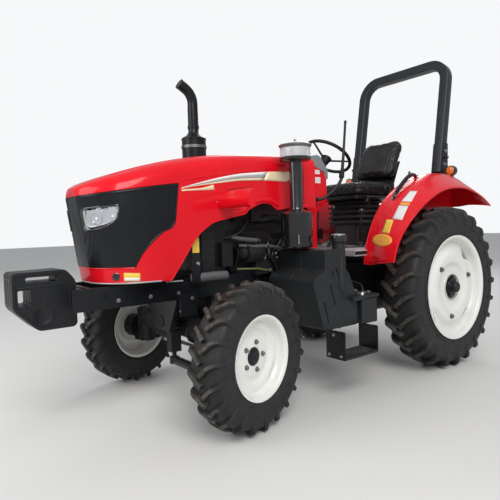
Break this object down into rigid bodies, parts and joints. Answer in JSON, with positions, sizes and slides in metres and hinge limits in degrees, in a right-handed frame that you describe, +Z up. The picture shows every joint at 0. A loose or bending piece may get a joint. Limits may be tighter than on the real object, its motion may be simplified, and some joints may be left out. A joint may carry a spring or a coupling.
{
  "type": "farm tractor",
  "caption": "Compact four-wheel-drive farm tractor with front weights, roll-over hoop, lifting bonnet and three-point linkage.",
  "frame": {"origin": "on the ground under the middle of the tractor's box", "axes": "+X towards the front weights, +Y to the driver's left, +Z up"},
  "size_m": [3.6626, 1.6404, 2.4559],
  "materials": {
    "tyre_rubber": "matt",
    "white_wheel_paint": "gloss",
    "red_paint": "gloss",
    "black_paint": "satin",
    "black_plastic": "satin",
    "cast_iron_grey": "satin paint over casting",
    "bright_steel": "turned",
    "platform_paint": "satin",
    "lamp_lens": "clear",
    "seat_vinyl": "grained vinyl"
  },
  "bodies": {
    "chassis": {"air_cleaner": "black_paint", "battery_box": "black_paint", "boarding_step": "black_paint", "console": "red_paint", "control_levers": "black_paint", "drawbar": "black_paint", "engine": "cast_iron_grey", "engine_fittings": "cast_iron_grey", "exhaust": "black_paint", "fender_left": "red_paint", "fender_right": "red_paint", "front_axle": "cast_iron_grey", "front_drive_shaft": "bright_steel", "front_frame": "black_paint", "front_weights": "black_paint", "fuel_tank": "black_plastic", "grab_rails": "black_paint", "hoop_brackets": "black_paint", "linkage_mounts": "black_paint", "mirror_arm": "black_paint", "platform": "platform_paint", "pre_cleaner": "black_plastic", "pto_shaft": "bright_steel", "radiator": "black_paint", "rear_axle_tubes": "cast_iron_grey", "rear_lamps": "black_paint", "rollover_hoop": "black_paint", "seat_backrest": "seat_vinyl", "seat_base": "black_paint", "seat_cushion": "seat_vinyl", "steering_column": "black_paint", "transmission_case": "cast_iron_grey"},
    "rear_wheel_left": {"rear_tyre_left": "tyre_rubber", "rear_rim_left": "white_wheel_paint", "rear_hub_left": "cast_iron_grey"},
    "rear_wheel_right": {"rear_tyre_right": "tyre_rubber", "rear_rim_right": "white_wheel_paint", "rear_hub_right": "cast_iron_grey"},
    "front_wheel_left": {"front_tyre_left": "tyre_rubber", "front_rim_left": "white_wheel_paint"},
    "front_wheel_right": {"front_tyre_right": "tyre_rubber", "front_rim_right": "white_wheel_paint"},
    "steer_left": {"steer_knuckle_left": "cast_iron_grey"},
    "steer_right": {"steer_knuckle_right": "cast_iron_grey"},
    "tie_rod": {"tie_rod": "bright_steel"},
    "steering_cylinder": {"steering_cylinder": "bright_steel"},
    "steering_ram_rod": {"steering_ram_rod": "bright_steel"},
    "steering_wheel": {"steering_wheel": "black_plastic"},
    "bonnet": {"bonnet": "red_paint", "grille_mask": "black_plastic", "headlamps": "lamp_lens"},
    "lift_arms": {"lift_arms": "black_paint"},
    "lift_rods": {"lift_rods": "black_paint"},
    "lower_link_left": {"lower_link_left": "black_paint"},
    "lower_link_right": {"lower_link_right": "black_paint"},
    "top_link": {"top_link": "black_paint"}
  },
  "joints": [
    {"name": "rear_wheel_left_spin", "type": "hinge", "parent": "chassis", "child": "rear_wheel_left", "pos_m": [-1.002, 0.66, 0.592], "axis": [0, 1, 0], "continuous": true},
    {"name": "rear_wheel_right_spin", "type": "hinge", "parent": "chassis", "child": "rear_wheel_right", "pos_m": [-1.002, -0.66, 0.592], "axis": [0, 1, 0], "continuous": true},
    {"name": "steer_left", "type": "hinge", "parent": "chassis", "child": "steer_left", "pos_m": [0.848, 0.5, 0.318], "axis": [0, 0, 1], "range_deg": [-53.3, 26.7]},
    {"name": "steer_right", "type": "hinge", "parent": "chassis", "child": "steer_right", "pos_m": [0.848, -0.5, 0.318], "axis": [0, 0, 1], "range_deg": [-53.3, 26.7]},
    {"name": "front_wheel_left_spin", "type": "hinge", "parent": "steer_left", "child": "front_wheel_left", "pos_m": [0.81349, 0.64598, 0.396], "axis": [-0.23, 0.9732, 0], "continuous": true},
    {"name": "front_wheel_right_spin", "type": "hinge", "parent": "steer_right", "child": "front_wheel_right", "pos_m": [0.88251, -0.64598, 0.396], "axis": [-0.23, 0.9732, 0], "continuous": true},
    {"name": "tie_rod_turn", "type": "hinge", "parent": "steer_left", "child": "tie_rod", "pos_m": [0.67769, 0.45974, 0.2867], "axis": [0, 0, 1], "range_deg": [-26.7, 53.3]},
    {"name": "ram_barrel_turn", "type": "hinge", "parent": "chassis", "child": "steering_cylinder", "pos_m": [0.944, 0.06, 0.2867], "axis": [0, 0, 1], "range_deg": [-2, 2]},
    {"name": "ram_rod_slide", "type": "slide", "parent": "steering_cylinder", "child": "steering_ram_rod", "axis": [0.0237, 0.9997, 0], "range_m": [-0.095, 0.048]},
    {"name": "steering_wheel_turn", "type": "hinge", "parent": "chassis", "child": "steering_wheel", "pos_m": [-0.47, 0, 1.56], "axis": [-0.5736, 0, 0.8192], "continuous": true},
    {"name": "bonnet_lift", "type": "hinge", "parent": "chassis", "child": "bonnet", "pos_m": [-0.052, 0, 1.551], "axis": [0, -1, 0], "range_deg": [0, 50]},
    {"name": "lift_arms_turn", "type": "hinge", "parent": "chassis", "child": "lift_arms", "pos_m": [-1.092, 0, 1.01], "axis": [0, 1, 0], "range_deg": [-12, 35]},
    {"name": "lower_link_left_turn", "type": "hinge", "parent": "chassis", "child": "lower_link_left", "pos_m": [-1.092, 0.235, 0.43], "axis": [0, 1, 0], "range_deg": [-12, 35]},
    {"name": "lower_link_right_turn", "type": "hinge", "parent": "chassis", "child": "lower_link_right", "pos_m": [-1.092, -0.235, 0.43], "axis": [0, 1, 0], "range_deg": [-12, 35]},
    {"name": "lift_rods_turn", "type": "hinge", "parent": "lift_arms", "child": "lift_rods", "pos_m": [-1.352, 0, 1.01], "axis": [0, 1, 0], "range_deg": [-35, 12]},
    {"name": "top_link_turn", "type": "hinge", "parent": "chassis", "child": "top_link", "pos_m": [-1.242, 0, 0.75], "axis": [0, 1, 0], "range_deg": [-15, 25]}
  ],
  "couplings": [
    {"joint": "steer_right", "follows": "steer_left", "ratio": 1},
    {"joint": "tie_rod_turn", "follows": "steer_left", "ratio": -1},
    {"joint": "ram_rod_slide", "follows": "steer_left", "m_per_rad": 0.1},
    {"joint": "ram_barrel_turn", "follows": "steer_left", "ratio": -0.01},
    {"joint": "lower_link_left_turn", "follows": "lift_arms_turn", "ratio": 1},
    {"joint": "lower_link_right_turn", "follows": "lift_arms_turn", "ratio": 1},
    {"joint": "lift_rods_turn", "follows": "lift_arms_turn", "ratio": -1}
  ]
}
